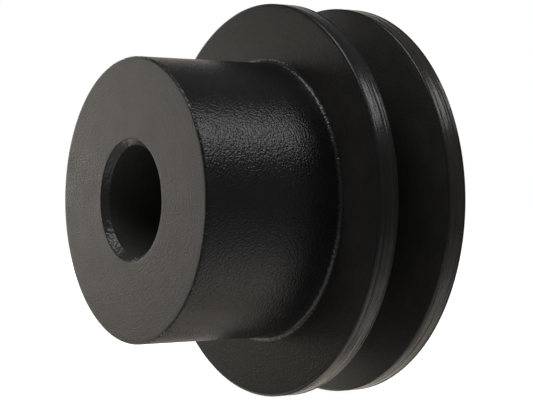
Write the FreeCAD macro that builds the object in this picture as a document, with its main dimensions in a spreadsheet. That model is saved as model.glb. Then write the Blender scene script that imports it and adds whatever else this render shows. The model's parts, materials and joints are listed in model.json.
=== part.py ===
import FreeCAD, Part
import math
import os

import Sketcher

# A V belt pulley turned from one piece of steel: a long round hub, a bore through it and a rim with one V groove.
# Lengths are in millimetres. The Y axis is the axis of rotation, with the nose of the hub towards -Y,
# and the origin is on that axis in the middle of the belt groove.

# Each driving dimension: its alias in the sheet, its value and what it measures.
DIMENSIONS = (
    ("bore_diameter", 17.0, "bore for the shaft"),
    ("bore_chamfer", 1.0, "45 degree chamfer at each mouth of the bore"),
    ("hub_diameter", 44.0, "hub, outside"),
    ("hub_projection", 23.8, "from the nose face to the front flange"),
    ("hub_root_radius", 0.7, "fillet between the hub and the front flange"),
    ("nose_edge_break", 0.25, "chamfer round the nose face"),
    ("rim_diameter", 63.0, "both flanges, outside"),
    ("front_rim_width", 3.4, "flat rim between the front flange face and the groove"),
    ("rear_rim_width", 3.4, "flat rim between the groove and the rear face"),
    ("rim_edge_radius", 0.4, "outer corner of each flange"),
    ("groove_opening", 9.6, "width of the groove at the rim"),
    ("groove_angle", 36.0, "degrees between the two walls of the groove"),
    ("groove_depth", 11.5, "from the rim to the bottom of the groove"),
    ("groove_lip_radius", 0.4, "corner where a groove wall meets the rim"),
    ("groove_root_radius", 0.6, "corner where a groove wall meets the bottom"),
)
OVERCUT = 1.0
TOLERANCE = 1e-4
VOLUME_TOLERANCE = 1e-4


def fill_sheet(doc):
    """Writes the driving dimensions into the sheet, one row each."""
    sheet = doc.addObject("Spreadsheet::Sheet", "Dimensions")
    for row, (alias, value, meaning) in enumerate(DIMENSIONS, start=1):
        sheet.set(f"A{row}", alias)
        sheet.set(f"B{row}", str(value))
        sheet.set(f"C{row}", meaning)
        sheet.setAlias(f"B{row}", alias)
    doc.recompute()
    return sheet


def add_sketch(body, name, plane_role):
    """Adds a sketch that lies flat on one of the body's own origin planes."""
    plane = next(p for p in body.Origin.OriginFeatures if p.Role == plane_role)
    sketch = body.newObject("Sketcher::SketchObject", name)
    sketch.AttachmentSupport = [(plane, "")]
    sketch.MapMode = "FlatFace"
    return sketch


def add_outline(sketch, corners, centred=()):
    """Draws a closed outline of straight sides through the corners, given as (radius, y).

    Level and upright sides stay so, and the upright sides named as centred stay centred on the X axis.
    """
    points = [FreeCAD.Vector(radius, y, 0) for radius, y in corners]
    following = points[1:] + points[:1]
    sides = [Part.LineSegment(a, b) for a, b in zip(points, following)]
    sketch.addGeometry(sides, False)
    for side in range(len(sides)):
        next_side = (side + 1) % len(sides)
        sketch.addConstraint(Sketcher.Constraint("Coincident", side, 2, next_side, 1))
    for side, (a, b) in enumerate(zip(points, following)):
        if abs(a.y - b.y) < TOLERANCE:
            sketch.addConstraint(Sketcher.Constraint("Horizontal", side))
        elif side in centred:
            sketch.addConstraint(Sketcher.Constraint("Symmetric", side, 1, side, 2, -1))
        elif abs(a.x - b.x) < TOLERANCE:
            sketch.addConstraint(Sketcher.Constraint("Vertical", side))


def drive(sketch, name, expression, *constraint):
    """Adds a named constraint whose value follows an expression."""
    index = sketch.addConstraint(Sketcher.Constraint(*constraint))
    sketch.renameConstraint(index, name)
    sketch.setExpression(f"Constraints.{name}", expression)


def round_edges(shape, radius, positions):
    """Names the round edges of this radius about the Y axis at these positions along it."""
    names = []
    for index, edge in enumerate(shape.Edges, start=1):
        if not isinstance(edge.Curve, Part.Circle):
            continue
        same_radius = abs(edge.Curve.Radius - radius) < TOLERANCE
        at_position = any(abs(edge.Curve.Center.y - y) < TOLERANCE for y in positions)
        if same_radius and at_position:
            names.append(f"Edge{index}")
    return names


def dress_edges(doc, body, kind, name, radius, positions, size):
    """Rounds or chamfers the edges of this radius at these positions, by the named dimension."""
    base = body.Tip
    edges = round_edges(base.Shape, radius, positions)
    if len(edges) != len(positions):
        raise RuntimeError(f"{name}: found {len(edges)} edges of {len(positions)}")
    feature = body.newObject(f"PartDesign::{kind}", name)
    feature.Base = (base, edges)
    feature.setExpression("Size" if kind == "Chamfer" else "Radius", f"Dimensions.{size}")
    body.Tip = feature
    doc.recompute()


def add_blank(doc, body, nose, front, rear, hub, rim):
    """Turns the solid blank: the hub, and a plain disc as wide as the two flanges and the groove."""
    sketch = add_sketch(body, "BlankOutline", "XY_Plane")
    add_outline(sketch, [(0, nose), (hub, nose), (hub, front), (rim, front), (rim, rear), (0, rear)])
    nose_side, hub_side, front_side, rim_side, rear_side, _ = range(6)
    sketch.addConstraint(Sketcher.Constraint("PointOnObject", nose_side, 1, -2))
    half_groove = "Dimensions.groove_opening / 2"
    to_front = f"{half_groove} + Dimensions.front_rim_width"
    to_rear = f"{half_groove} + Dimensions.rear_rim_width"
    drive(sketch, "hub_radius", "Dimensions.hub_diameter / 2", "DistanceX", -1, 1, hub_side, 1, hub)
    drive(sketch, "rim_radius", "Dimensions.rim_diameter / 2", "DistanceX", -1, 1, rim_side, 1, rim)
    drive(sketch, "hub_projection", "Dimensions.hub_projection",
          "DistanceY", hub_side, 1, hub_side, 2, front - nose)
    drive(sketch, "to_front_face", to_front, "DistanceY", front_side, 2, -1, 1, -front)
    drive(sketch, "to_rear_face", to_rear, "DistanceY", -1, 1, rear_side, 1, rear)
    blank = body.newObject("PartDesign::Revolution", "Blank")
    blank.Profile = sketch
    blank.ReferenceAxis = (sketch, ["V_Axis"])
    blank.Angle = 360.0
    doc.recompute()


def add_belt_groove(doc, body, opening, depth, slope, rim):
    """Cuts the V groove: two straight walls and a flat bottom, open at the rim."""
    root = rim - depth
    half_root = opening / 2 - depth * slope
    outside = rim + OVERCUT
    sketch = add_sketch(body, "GrooveOutline", "XY_Plane")
    mouth_side, _, rear_wall, root_side, front_wall, _ = range(6)
    add_outline(sketch, [
        (outside, -opening / 2), (outside, opening / 2), (rim, opening / 2),
        (root, half_root), (root, -half_root), (rim, -opening / 2),
    ], centred=(mouth_side, root_side))
    sketch.addConstraint(Sketcher.Constraint("Vertical", rear_wall, 1, front_wall, 2))
    drive(sketch, "opening", "Dimensions.groove_opening", "DistanceY", mouth_side, 1, mouth_side, 2, opening)
    drive(sketch, "rim_radius", "Dimensions.rim_diameter / 2", "DistanceX", -1, 1, rear_wall, 1, rim)
    drive(sketch, "root_radius", "Dimensions.rim_diameter / 2 - Dimensions.groove_depth",
          "DistanceX", -1, 1, root_side, 1, root)
    drive(sketch, "overcut", f"{OVERCUT}", "DistanceX", rear_wall, 1, mouth_side, 2, OVERCUT)
    drive(sketch, "root_width",
          "Dimensions.groove_opening - 2 * Dimensions.groove_depth * tan(Dimensions.groove_angle / 2)",
          "DistanceY", root_side, 2, root_side, 1, 2 * half_root)
    groove = body.newObject("PartDesign::Groove", "BeltGroove")
    groove.Profile = sketch
    groove.ReferenceAxis = (sketch, ["V_Axis"])
    groove.Angle = 360.0
    doc.recompute()


def add_bore(doc, body, radius):
    """Bores the hole for the shaft right through, along the axis."""
    sketch = add_sketch(body, "BoreCircle", "XZ_Plane")
    centre = FreeCAD.Vector(0, 0, 0)
    normal = FreeCAD.Vector(0, 0, 1)
    sketch.addGeometry(Part.Circle(centre, normal, radius), False)
    sketch.addConstraint(Sketcher.Constraint("Coincident", 0, 3, -1, 1))
    drive(sketch, "bore_radius", "Dimensions.bore_diameter / 2", "Radius", 0, radius)
    bore = body.newObject("PartDesign::Pocket", "Bore")
    bore.Profile = sketch
    bore.Type = "ThroughAll"
    bore.SideType = "Symmetric"
    doc.recompute()


def expect(name, removed, wanted):
    """Stops if a cut took away less or more than its geometry says."""
    if abs(removed - wanted) > VOLUME_TOLERANCE * wanted:
        raise RuntimeError(f"{name}: removed {removed:.1f} mm3, not {wanted:.1f} mm3")


def check(doc, body):
    """Stops on any failed feature, and on a missing or invalid shape."""
    for item in doc.Objects:
        if "Invalid" in item.State or "Error" in item.State:
            raise RuntimeError(f"{item.Name} failed: {item.State}")
    shape = body.Shape
    if shape.isNull() or not shape.isValid() or len(shape.Solids) != 1:
        raise RuntimeError(f"{body.Label}: the shape is not one valid solid")


def main():
    doc = FreeCAD.newDocument("VBeltPulley")
    sheet = fill_sheet(doc)
    half_opening = sheet.groove_opening / 2
    front = -half_opening - sheet.front_rim_width
    nose = front - sheet.hub_projection
    rear = half_opening + sheet.rear_rim_width
    hub = sheet.hub_diameter / 2
    rim = sheet.rim_diameter / 2
    bore = sheet.bore_diameter / 2
    slope = math.tan(math.radians(sheet.groove_angle / 2))
    root = rim - sheet.groove_depth
    half_root = half_opening - sheet.groove_depth * slope

    pulley = doc.addObject("PartDesign::Body", "Pulley")
    pulley.Label = "pulley"
    pulley.Placement = FreeCAD.Placement()
    add_blank(doc, pulley, nose, front, rear, hub, rim)
    blank_volume = pulley.Shape.Volume
    add_belt_groove(doc, pulley, sheet.groove_opening, sheet.groove_depth, slope, rim)
    grooved_volume = pulley.Shape.Volume
    add_bore(doc, pulley, bore)
    bored_volume = pulley.Shape.Volume

    section = sheet.groove_depth * (half_opening + half_root)
    centroid = root + sheet.groove_depth * (half_root + 2 * half_opening) / (3 * (half_root + half_opening))
    expect("belt groove", blank_volume - grooved_volume, 2 * math.pi * centroid * section)
    expect("bore", grooved_volume - bored_volume, math.pi * bore**2 * (rear - nose))

    dress_edges(doc, pulley, "Fillet", "GrooveRoot", root, (-half_root, half_root), "groove_root_radius")
    dress_edges(doc, pulley, "Fillet", "GrooveLips", rim, (-half_opening, half_opening), "groove_lip_radius")
    dress_edges(doc, pulley, "Fillet", "RimEdges", rim, (front, rear), "rim_edge_radius")
    dress_edges(doc, pulley, "Fillet", "HubRoot", hub, (front,), "hub_root_radius")
    dress_edges(doc, pulley, "Chamfer", "NoseEdge", hub, (nose,), "nose_edge_break")
    dress_edges(doc, pulley, "Chamfer", "BoreMouths", bore, (nose, rear), "bore_chamfer")

    check(doc, pulley)
    os.makedirs("parts", exist_ok=True)
    pulley.Shape.exportStep(f"parts/{pulley.Label}.step")
    print(f"{pulley.Label}: {pulley.Shape.Volume:.1f} mm3, y {nose:.3f} to {rear:.3f}, radius {rim:.3f}")


main()
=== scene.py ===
import json
import math

import bpy
import numpy as np
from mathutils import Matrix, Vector


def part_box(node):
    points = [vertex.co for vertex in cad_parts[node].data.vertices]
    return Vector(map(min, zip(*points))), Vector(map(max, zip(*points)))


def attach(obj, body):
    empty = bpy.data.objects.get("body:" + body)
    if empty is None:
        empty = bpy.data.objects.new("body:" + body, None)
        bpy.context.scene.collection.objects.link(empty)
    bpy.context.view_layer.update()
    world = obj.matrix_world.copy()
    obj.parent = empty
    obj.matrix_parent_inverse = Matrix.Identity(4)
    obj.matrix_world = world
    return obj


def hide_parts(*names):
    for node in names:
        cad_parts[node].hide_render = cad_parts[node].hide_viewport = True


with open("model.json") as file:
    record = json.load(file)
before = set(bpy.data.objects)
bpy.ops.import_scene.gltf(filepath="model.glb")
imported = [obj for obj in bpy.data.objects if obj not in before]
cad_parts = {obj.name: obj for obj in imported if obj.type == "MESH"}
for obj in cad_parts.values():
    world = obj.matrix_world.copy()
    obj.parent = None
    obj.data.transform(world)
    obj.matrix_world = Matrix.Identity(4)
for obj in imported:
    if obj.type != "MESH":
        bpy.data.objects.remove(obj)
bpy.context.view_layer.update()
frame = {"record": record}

# A V belt pulley in one piece: a round hub, a bore through it and two flanges with a V groove between them.
# Lengths are in metres. Y is the axis of rotation, with the nose of the hub towards -Y and the middle of the
# groove at the origin.

MM = 0.001
node_low, node_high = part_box("pulley")
mounts = {mount["name"]: mount for mount in frame["record"]["mounts"]}


# --- Dimensions --------------------------------------------------------------------------------------------

# The outline's size and the bore come from the frame, and the rest repeats the CAD model's own dimensions.
NOSE_Y = node_low[1]
REAR_Y = node_high[1]
RIM_RADIUS = node_high[0]
BORE_RADIUS = mounts["bore"]["dims"]["r_mm"] * MM
BORE_CHAMFER = 1.0 * MM
HUB_RADIUS = 22.0 * MM
HUB_LENGTH = 23.8 * MM
HUB_ROOT_ROUNDING = 0.7 * MM
NOSE_EDGE_BREAK = 0.25 * MM
RIM_WIDTH = 3.4 * MM
RIM_EDGE_ROUNDING = 0.4 * MM
GROOVE_DEPTH = 11.5 * MM
GROOVE_ANGLE = math.radians(36)
GROOVE_BOTTOM_ROUNDING = 0.6 * MM

FLANGE_Y = NOSE_Y + HUB_LENGTH
GROOVE_FRONT_Y = FLANGE_Y + RIM_WIDTH
GROOVE_REAR_Y = REAR_Y - RIM_WIDTH
GROOVE_BOTTOM_RADIUS = RIM_RADIUS - GROOVE_DEPTH
# Half the width of the groove at the rims, and of its flat bottom.
HALF_OPENING = (GROOVE_REAR_Y - GROOVE_FRONT_Y) / 2
HALF_BOTTOM = HALF_OPENING - GROOVE_DEPTH * math.tan(GROOVE_ANGLE / 2)

# What is too fine for the CAD model: more roundings, and rims that are a little lower at their sides.
MOUTH_ROUNDING = 0.3 * MM
NOSE_EDGE_ROUNDING = 0.2 * MM
SHARP_ROUNDING = 0.06 * MM
RIM_CROWN = 0.100 * MM
CROWNED = ("rim", "rear_rim")

# Over this distance from each end of a surface, the turning ridges rise to their full height.
RIDGE_FADE = 0.4 * MM

# Steps round the axis, and the seed of the ridges.
SEGMENTS = 320
SEED = 7
rng = np.random.default_rng(SEED)


# --- The turned section ------------------------------------------------------------------------------------

# Each corner: radius, y, rounding, steps in its arc, the arc's surface, and the surface of the run after it.
# Seen with the radius to the right and y upward, the corners go round anticlockwise.
CORNERS = (
    (BORE_RADIUS + BORE_CHAMFER, NOSE_Y, MOUTH_ROUNDING, 6, "end_face", "end_face"),
    (HUB_RADIUS - NOSE_EDGE_BREAK, NOSE_Y, NOSE_EDGE_ROUNDING, 4, "end_face", "nose_edge"),
    (HUB_RADIUS, NOSE_Y + NOSE_EDGE_BREAK, NOSE_EDGE_ROUNDING, 4, "nose_edge", "hub_side"),
    (HUB_RADIUS, FLANGE_Y, HUB_ROOT_ROUNDING, 10, "hub_root", "flange_face"),
    (RIM_RADIUS, FLANGE_Y, RIM_EDGE_ROUNDING, 6, "rim_edge", "rim"),
    (RIM_RADIUS, GROOVE_FRONT_Y, RIM_EDGE_ROUNDING, 6, "rim_edge", "groove"),
    (GROOVE_BOTTOM_RADIUS, -HALF_BOTTOM, GROOVE_BOTTOM_ROUNDING, 6, "groove", "groove"),
    (GROOVE_BOTTOM_RADIUS, HALF_BOTTOM, GROOVE_BOTTOM_ROUNDING, 6, "groove", "groove"),
    (RIM_RADIUS, GROOVE_REAR_Y, RIM_EDGE_ROUNDING, 6, "rim_edge", "rear_rim"),
    (RIM_RADIUS, REAR_Y, RIM_EDGE_ROUNDING, 6, "rim_edge", "rear_face"),
    (BORE_RADIUS + BORE_CHAMFER, REAR_Y, MOUTH_ROUNDING, 6, "bore_chamfer", "bore_chamfer"),
    (BORE_RADIUS, REAR_Y - BORE_CHAMFER, SHARP_ROUNDING, 3, "bore_chamfer", "bore"),
    (BORE_RADIUS, NOSE_Y + BORE_CHAMFER, SHARP_ROUNDING, 3, "bore", "bore_chamfer"),
)

# Each surface: the spacing of its rings, and the height and the wavelengths in millimetres of its turning
# ridges. The ridges draw their random numbers in this order.
SURFACES = {
    "end_face": (0.50 * MM, 0.0012 * MM, (0.9, 1.4, 2.3)),
    "nose_edge": (0.10 * MM, 0.0, ()),
    "hub_side": (0.80 * MM, 0.0040 * MM, (5.0, 8.0, 13.0)),
    "hub_root": (0.20 * MM, 0.0, ()),
    "flange_face": (0.45 * MM, 0.0020 * MM, (0.9, 1.3, 2.1)),
    "rim": (0.085 * MM, 0.0230 * MM, (0.58, 0.77, 1.02, 1.40)),
    "rim_edge": (0.10 * MM, 0.0, ()),
    "groove": (0.80 * MM, 0.0020 * MM, (1.5, 2.3)),
    "rear_face": (0.80 * MM, 0.0020 * MM, (1.2, 1.9)),
    "bore_chamfer": (0.25 * MM, 0.0, ()),
    "bore": (2.0 * MM, 0.0, ()),
    "rear_rim": (0.085 * MM, 0.0280 * MM, (0.62, 0.81, 1.10, 1.50)),
}


def rounded(before, corner, after, radius, steps):
    """Points of the arc that rounds a corner and meets both of its sides smoothly."""
    to_before = (before - corner) / np.linalg.norm(before - corner)
    to_after = (after - corner) / np.linalg.norm(after - corner)
    half = math.acos(np.dot(to_before, to_after)) / 2
    bisector = to_before + to_after
    centre = corner + bisector / np.linalg.norm(bisector) * radius / math.sin(half)
    start = corner + to_before * radius / math.tan(half) - centre
    end = corner + to_after * radius / math.tan(half) - centre
    sweep = math.atan2(start[0] * end[1] - start[1] * end[0], np.dot(start, end))
    turns = np.linspace(0, sweep, steps + 1)
    return [centre + np.array((start[0] * math.cos(turn) - start[1] * math.sin(turn),
                               start[0] * math.sin(turn) + start[1] * math.cos(turn))) for turn in turns]


def section():
    """The closed section, as four sequences with an entry for each point.

    They hold its (radius, y), the surface that starts at it, its distance along its run, and its distance
    from the nearer end of the run. Both distances are 0 in an arc.
    """
    corners = [np.array(corner[:2]) for corner in CORNERS]
    arcs = []
    for index, (_, _, rounding, steps, _, _) in enumerate(CORNERS):
        after = corners[(index + 1) % len(corners)]
        arcs.append(rounded(corners[index - 1], corners[index], after, rounding, steps))
    points, surfaces, along, to_end = [], [], [], []
    for index, (_, _, _, _, arc_surface, run_surface) in enumerate(CORNERS):
        for point in arcs[index][:-1]:
            points.append(point)
            surfaces.append(arc_surface)
            along.append(0.0)
            to_end.append(0.0)
        start, end = arcs[index][-1], arcs[(index + 1) % len(arcs)][0]
        length = np.linalg.norm(end - start)
        spacing = SURFACES[run_surface][0]
        steps = max(1, round(length / spacing))
        for step in range(steps):
            points.append(start + (end - start) * step / steps)
            surfaces.append(run_surface)
            along.append(length * step / steps)
            to_end.append(min(step, steps - step) / steps * length)
    return np.array(points), surfaces, np.array(along), np.array(to_end)


def outward_directions(points):
    """The direction out of the metal at each point of the section: to the right of the way it goes."""
    tangent = np.roll(points, -1, axis=0) - np.roll(points, 1, axis=0)
    tangent /= np.linalg.norm(tangent, axis=1)[:, None]
    return np.column_stack((tangent[:, 1], -tangent[:, 0]))


def ridges(along, around, wavelengths):
    """Low ridges left by the turning tool: waves along the run that drift and fade round the axis."""
    height = np.zeros((len(along), len(around)))
    for wavelength in wavelengths:
        phase, drift, fade = rng.uniform(0, math.tau, 3)
        drift_turns, fade_turns = rng.integers(1, 4, 2)
        wander = phase + 0.5 * np.sin(drift_turns * around + drift)
        strength = 0.75 + 0.25 * np.sin(fade_turns * around + fade)
        waves = np.sin(math.tau * along[:, None] / (wavelength * MM) + wander[None, :])
        height += waves * strength[None, :]
    return height / math.sqrt(len(wavelengths))


def relief(surfaces, along, to_end, around):
    """How far the surface stands out from the section, for each point and each angle round the axis."""
    height = np.zeros((len(surfaces), len(around)))
    for name, (_, ridge_height, wavelengths) in SURFACES.items():
        if not wavelengths:
            continue
        rows = np.array([surface == name for surface in surfaces])
        fade = np.clip(to_end[rows] / RIDGE_FADE, 0, 1)
        height[rows] = ridges(along[rows], around, wavelengths) * (ridge_height * fade)[:, None]
        if name in CROWNED:
            height[rows] -= (RIM_CROWN * np.square(1 - 2 * to_end[rows] / RIM_WIDTH))[:, None]
    return height


def turned_mesh():
    """Sweeps the section round the axis, with the relief in its surface."""
    points, surfaces, along, to_end = section()
    around = np.arange(SEGMENTS) * math.tau / SEGMENTS
    height = relief(surfaces, along, to_end, around)
    outward = outward_directions(points)
    radius = points[:, :1] + outward[:, :1] * height
    y = points[:, 1:] + outward[:, 1:] * height
    x = radius * np.cos(around)
    z = radius * np.sin(around)
    vertices = np.stack((x, y, z), axis=-1).reshape(-1, 3)

    count = len(points)
    ring, step = np.meshgrid(np.arange(count), np.arange(SEGMENTS), indexing="ij")
    next_ring, next_step = (ring + 1) % count, (step + 1) % SEGMENTS
    faces = np.stack((ring * SEGMENTS + step, next_ring * SEGMENTS + step,
                      next_ring * SEGMENTS + next_step, ring * SEGMENTS + next_step), axis=-1)
    mesh = bpy.data.meshes.new("pulley_turned")
    mesh.from_pydata(vertices.tolist(), [], faces.reshape(-1, 4).tolist())
    slots = np.repeat([list(SURFACES).index(surface) for surface in surfaces], SEGMENTS)
    mesh.polygons.foreach_set("material_index", slots.astype(np.int32))
    mesh.polygons.foreach_set("use_smooth", np.ones(len(slots), dtype=bool))
    mesh.update()
    return mesh


# --- Materials ---------------------------------------------------------------------------------------------

# Most of a noise pattern's values lie in this range.
NOISE_LOW, NOISE_HIGH = 0.3, 0.7

# Scales per millimetre of the uneven colour and roughness, and how far each strays from its middle value.
BLOTCH_SCALE = 0.25
SPECK_SCALE = 3.0
SHADE_SPREAD = 0.25
ROUGHNESS_SPREAD = 0.05

FILM_ROUGHNESS = 0.26


def add(tree, kind, inputs=None, **settings):
    """Adds a node. Each input is a value, or another node's output to link from."""
    node = tree.nodes.new(kind)
    for name, value in settings.items():
        setattr(node, name, value)
    for socket, value in (inputs or {}).items():
        if isinstance(value, bpy.types.NodeSocket):
            tree.links.new(value, node.inputs[socket])
        else:
            node.inputs[socket].default_value = value
    return node


def maths(tree, operation, *values):
    """One Math node's output."""
    return add(tree, "ShaderNodeMath", dict(enumerate(values)), operation=operation).outputs[0]


def average(tree, first, second):
    """The mean of two patterns."""
    return maths(tree, "MULTIPLY_ADD", first, 0.5, maths(tree, "MULTIPLY", second, 0.5))


def coordinates(tree):
    """Position in millimetres, its distance from the axis, its y, and its direction from the axis."""
    place = add(tree, "ShaderNodeTexCoord").outputs["Object"]
    mm = add(tree, "ShaderNodeVectorMath", {0: place, "Scale": 1 / MM}, operation="SCALE").outputs[0]
    flat = add(tree, "ShaderNodeVectorMath", {0: mm, 1: (1, 0, 1)}, operation="MULTIPLY").outputs[0]
    radius = add(tree, "ShaderNodeVectorMath", {0: flat}, operation="LENGTH").outputs["Value"]
    way = add(tree, "ShaderNodeVectorMath", {0: flat}, operation="NORMALIZE").outputs[0]
    y = add(tree, "ShaderNodeSeparateXYZ", {0: mm}).outputs["Y"]
    return mm, radius, y, way


def noise(tree, vector, scale, detail=2.0, roughness=0.5):
    """A noise pattern from 0 to 1."""
    inputs = {"Vector": vector, "Scale": scale, "Detail": detail, "Roughness": roughness}
    return add(tree, "ShaderNodeTexNoise", inputs).outputs["Fac"]


def stretched(tree, across, way, fineness, turns):
    """A noise pattern drawn out round the axis: fine across the tool marks and long with them."""
    fine = maths(tree, "MULTIPLY", across, fineness)
    parts = add(tree, "ShaderNodeSeparateXYZ", {0: way})
    sideways = maths(tree, "MULTIPLY", parts.outputs["X"], turns)
    upward = maths(tree, "MULTIPLY", parts.outputs["Z"], turns)
    vector = add(tree, "ShaderNodeCombineXYZ", {0: fine, 1: sideways, 2: upward}).outputs[0]
    return noise(tree, vector, 1.0, detail=3.0, roughness=0.6)


def ranged(tree, pattern, low, high):
    """Spreads a noise pattern over the range from low to high."""
    inputs = {"Value": pattern, "From Min": NOISE_LOW, "From Max": NOISE_HIGH, "To Min": low, "To Max": high}
    return add(tree, "ShaderNodeMapRange", inputs).outputs["Result"]


def coated(surface, shade, roughness, gloss=0.5, film=0.0, peel=0.0, peel_size=0.5, marks=0.0,
           marks_across="radius", marks_fineness=5.0, marks_turns=6.0, grain=0.0, grain_size=0.35):
    """Black coating over metal, with orange peel, tool marks and a fine grain as its relief.

    peel, marks and grain are heights, and they and the two sizes are in millimetres. The marks lie round the
    axis: they are marks_fineness to a millimetre across, and change faster round the part as marks_turns
    rises. gloss is the specular level, and film is how much of a clear film lies on top.
    """
    material = bpy.data.materials.new("coated_" + surface)
    material.use_nodes = True
    tree = material.node_tree
    shader = tree.nodes["Principled BSDF"]
    shader.inputs["Specular IOR Level"].default_value = gloss
    shader.inputs["Coat Weight"].default_value = film
    shader.inputs["Coat Roughness"].default_value = FILM_ROUGHNESS
    mm, radius, y, way = coordinates(tree)
    blotches = noise(tree, mm, BLOTCH_SCALE, detail=4.0)
    specks = noise(tree, mm, SPECK_SCALE, detail=3.0)
    lines = stretched(tree, radius if marks_across == "radius" else y, way, marks_fineness, marks_turns)

    # Inputs 6 and 7 of a Mix node are its two colours, and its output 2 is the mixed colour.
    dark = [(1 - SHADE_SPREAD) * channel for channel in shade] + [1]
    light = [(1 + SHADE_SPREAD) * channel for channel in shade] + [1]
    share = ranged(tree, average(tree, lines, blotches), 0, 1)
    colour = add(tree, "ShaderNodeMix", {0: share, 6: dark, 7: light}, data_type="RGBA")
    tree.links.new(colour.outputs[2], shader.inputs["Base Color"])

    smooth, rough = roughness - ROUGHNESS_SPREAD, roughness + ROUGHNESS_SPREAD
    uneven = ranged(tree, average(tree, specks, blotches), smooth, rough)
    tree.links.new(uneven, shader.inputs["Roughness"])

    height = maths(tree, "MULTIPLY", noise(tree, mm, 1 / peel_size, detail=1.0), peel)
    height = maths(tree, "MULTIPLY_ADD", lines, marks, height)
    height = maths(tree, "MULTIPLY_ADD", noise(tree, mm, 1 / grain_size, detail=1.0), grain, height)
    bump = add(tree, "ShaderNodeBump", {"Strength": 1.0, "Distance": MM, "Height": height})
    tree.links.new(bump.outputs["Normal"], shader.inputs["Normal"])
    if film:
        tree.links.new(bump.outputs["Normal"], shader.inputs["Coat Normal"])
    return material


BLACK = (0.012, 0.012, 0.013)
END_BLACK = (0.025, 0.0235, 0.0215)
HUB_BLACK = (0.018, 0.018, 0.0192)
MATT_BLACK = (0.028, 0.0271, 0.0236)
RIM_BLACK = (0.010, 0.0098, 0.009)
# The rear rim's black is lighter and warmer than the front rim's, though both rims are the same coating:
# painted light that brightens the rear rim's dark parts.
REAR_RIM_BLACK_AND_PAINTED_LIGHT = (0.031, 0.0265, 0.022)
GROOVE_BLACK = (0.026, 0.0255, 0.0225)
CHAMFER_BLACK = (0.024, 0.024, 0.023)
# The bore's black is lifted well above the other blacks: painted light standing in for the light that the
# lamps don't send into the bore.
BORE_BLACK_AND_PAINTED_LIGHT = (0.052, 0.052, 0.045)

COATINGS = {
    "end_face": dict(shade=END_BLACK, roughness=0.52, marks=0.032, marks_fineness=3.0, grain=0.050,
                     grain_size=0.26),
    "nose_edge": dict(shade=BLACK, roughness=0.22, gloss=0.45, peel=0.24, peel_size=0.45, grain=0.020),
    "hub_side": dict(shade=HUB_BLACK, roughness=0.24, peel=0.088, peel_size=0.32, grain=0.012),
    "hub_root": dict(shade=BLACK, roughness=0.33, gloss=0.62, peel=0.14, grain=0.020),
    "flange_face": dict(shade=MATT_BLACK, roughness=0.40, gloss=0.10, marks=0.016, marks_fineness=2.5,
                        grain=0.036, grain_size=0.28),
    "rim": dict(shade=RIM_BLACK, roughness=0.22, gloss=0.15, film=1.0, marks=0.130, marks_across="y",
                marks_fineness=2.0, marks_turns=3.0, grain=0.010),
    "rim_edge": dict(shade=BLACK, roughness=0.30, marks=0.020, marks_across="y", grain=0.020),
    "groove": dict(shade=GROOVE_BLACK, roughness=0.42, gloss=0.40, marks=0.012, marks_fineness=2.5,
                   grain=0.030),
    "rear_face": dict(shade=MATT_BLACK, roughness=0.50, marks=0.016, marks_fineness=2.5, grain=0.050),
    "bore_chamfer": dict(shade=CHAMFER_BLACK, roughness=0.30, gloss=0.75, peel=0.110, marks=0.020,
                         marks_fineness=2.5, grain=0.008),
    # The bore's shade holds painted light as well as the coating's black.
    "bore": dict(shade=BORE_BLACK_AND_PAINTED_LIGHT, roughness=0.45, marks=0.020, marks_across="y", marks_fineness=2.5,
                 grain=0.020),
    # The rear rim's shade holds painted light as well as the coating's black.
    "rear_rim": dict(shade=REAR_RIM_BLACK_AND_PAINTED_LIGHT, roughness=0.22, gloss=0.15, film=1.0, marks=0.130,
                     marks_across="y", marks_fineness=2.0, marks_turns=3.0, grain=0.010),
}


# --- The piece ---------------------------------------------------------------------------------------------

def linked(name, data):
    """A new object, in the scene."""
    made = bpy.data.objects.new(name, data)
    bpy.context.scene.collection.objects.link(made)
    return made


mesh = turned_mesh()
for surface in SURFACES:
    mesh.materials.append(coated(surface, **COATINGS[surface]))
pulley = linked("pulley_turned", mesh)
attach(pulley, "root")
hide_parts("pulley")


# --- Camera ------------------------------------------------------------------------------------------------

# The camera's place is how far it is from the middle of the nose face in each of its own directions. The lens
# and the sensor are in Blender's millimetres.
CAMERA_AZIMUTH = math.radians(55.9)
CAMERA_ELEVATION = math.radians(0.15)
CAMERA_BACK = 244.6 * MM
CAMERA_RIGHT = 20.83 * MM
CAMERA_UP = 0.06 * MM
CAMERA_LENS = 108.2
CAMERA_SENSOR = 36
CAMERA_CLIP = 10 * MM

nose_centre = Vector((0, NOSE_Y, 0))
backward = Vector((math.sin(CAMERA_AZIMUTH) * math.cos(CAMERA_ELEVATION),
                   -math.cos(CAMERA_AZIMUTH) * math.cos(CAMERA_ELEVATION), math.sin(CAMERA_ELEVATION)))
rightward = Vector((math.cos(CAMERA_AZIMUTH), math.sin(CAMERA_AZIMUTH), 0))
upward = backward.cross(rightward)

camera = linked("camera", bpy.data.cameras.new("camera"))
camera.data.lens = CAMERA_LENS
camera.data.sensor_width = CAMERA_SENSOR
camera.data.clip_start = CAMERA_CLIP
camera.location = nose_centre + backward * CAMERA_BACK + rightward * CAMERA_RIGHT + upward * CAMERA_UP
camera.rotation_euler = (math.pi / 2 - CAMERA_ELEVATION, 0, CAMERA_AZIMUTH)
bpy.context.scene.camera = camera


# --- Studio ------------------------------------------------------------------------------------------------

WHITE = (1.0, 1.0, 1.0)
WARM = (1.08, 0.99, 0.87)
AMBER = (1.12, 0.985, 0.83)

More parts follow.
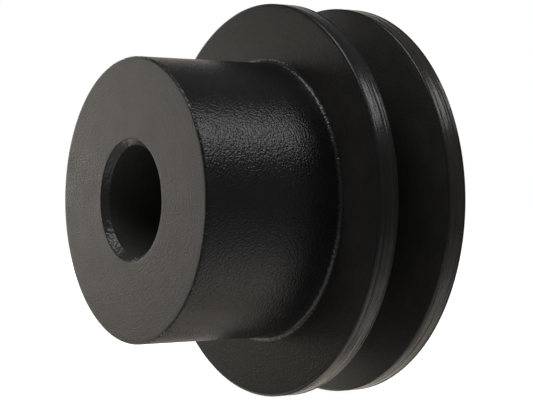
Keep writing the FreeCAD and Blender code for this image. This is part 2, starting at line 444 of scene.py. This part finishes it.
# Each light: direction from the object, distance, diameter, brightness and colour.
LIGHTS = {
    "key": ((0.545, 0.40, 0.738), 0.6, 0.27, 2.9, WHITE),
    "overhead": ((0.0, -0.45, 0.89), 0.7, 0.40, 3.8, WHITE),
    "left": ((-0.955, -0.297, 0.02), 0.7, 0.26, 4.65, WARM),
    "left_low": ((-0.80, -0.42, -0.42), 0.7, 0.40, 0.8, WARM),
    "far_left": ((-0.98, 0.04, 0.20), 0.7, 0.40, 3.7, WHITE),
    "behind": ((-0.80, 0.60, 0.0), 0.7, 0.80, 0.33, AMBER),
    "back": ((-0.37, 0.89, -0.25), 0.7, 0.40, 0.8, WARM),
    "back_low": ((-0.46, 0.78, -0.43), 0.7, 0.50, 0.35, AMBER),
    "below_back": ((-0.08, 0.56, -0.83), 0.7, 0.62, 0.27, AMBER),
    "below_right": ((0.35, 0.56, -0.75), 0.7, 0.40, 0.50, WARM),
    "low_right": ((0.64, 0.56, -0.53), 0.7, 0.40, 0.24, WHITE),
    "below": ((-0.19, 0.10, -0.98), 0.7, 0.40, 1.2, WARM),
    "below_front": ((0.40, -0.40, -0.80), 0.7, 0.80, 0.50, WHITE),
    "below_left": ((-0.82, -0.02, -0.57), 0.7, 0.30, 1.15, WARM),
    "under_nose": ((-0.22, -0.46, -0.86), 0.7, 0.55, 0.22, WARM),
}

FLOOR_SIZE = 4.0
FLOOR_SHADE = (0.8, 0.8, 0.8, 1)
FLOOR_ROUGHNESS = 0.9
FLOOR_GLOW = 0.95

# Brightness of the white surround where the camera sees it, and where it only lights the object.
SURROUND_SEEN = 1.0
SURROUND_LIGHT = 0.105


def softbox(name, direction, distance, diameter, brightness, colour):
    """A round light that faces the object and isn't seen itself."""
    light = bpy.data.lights.new(name, "AREA")
    light.shape = "DISK"
    light.size = diameter
    area = math.pi * diameter**2 / 4
    light.energy = brightness * math.pi * area
    light.color = colour
    lamp = linked(name, light)
    towards = Vector(direction).normalized()
    lamp.location = towards * distance
    lamp.rotation_mode = "QUATERNION"
    lamp.rotation_quaternion = towards.to_track_quat("Z", "Y")
    lamp.visible_camera = False


def floor(level):
    """A pale floor that glows as a light table does. It neither lights nor shades the object."""
    half = FLOOR_SIZE / 2
    corners = [(-half, -half, level), (half, -half, level), (half, half, level), (-half, half, level)]
    plane = bpy.data.meshes.new("floor")
    plane.from_pydata(corners, [], [(0, 1, 2, 3)])
    material = bpy.data.materials.new("pale_floor")
    material.use_nodes = True
    shader = material.node_tree.nodes["Principled BSDF"]
    shader.inputs["Base Color"].default_value = FLOOR_SHADE
    shader.inputs["Roughness"].default_value = FLOOR_ROUGHNESS
    shader.inputs["Emission Color"].default_value = (1, 1, 1, 1)
    shader.inputs["Emission Strength"].default_value = FLOOR_GLOW
    plane.materials.append(material)
    table = linked("floor", plane)
    table.visible_diffuse = False
    table.visible_glossy = False
    table.visible_shadow = False


def surroundings():
    """A white surround for the camera, dim where it only lights the object."""
    world = bpy.data.worlds.new("surroundings")
    world.use_nodes = True
    tree = world.node_tree
    backdrop = tree.nodes["Background"]
    backdrop.inputs["Color"].default_value = (1, 1, 1, 1)
    seen = add(tree, "ShaderNodeLightPath").outputs["Is Camera Ray"]
    strength = add(tree, "ShaderNodeMapRange",
                   {"Value": seen, "To Min": SURROUND_LIGHT, "To Max": SURROUND_SEEN})
    tree.links.new(strength.outputs["Result"], backdrop.inputs["Strength"])
    bpy.context.scene.world = world


for name, settings in LIGHTS.items():
    softbox(name, *settings)
floor(node_low[2])
surroundings()
bpy.context.scene.view_settings.view_transform = "Standard"
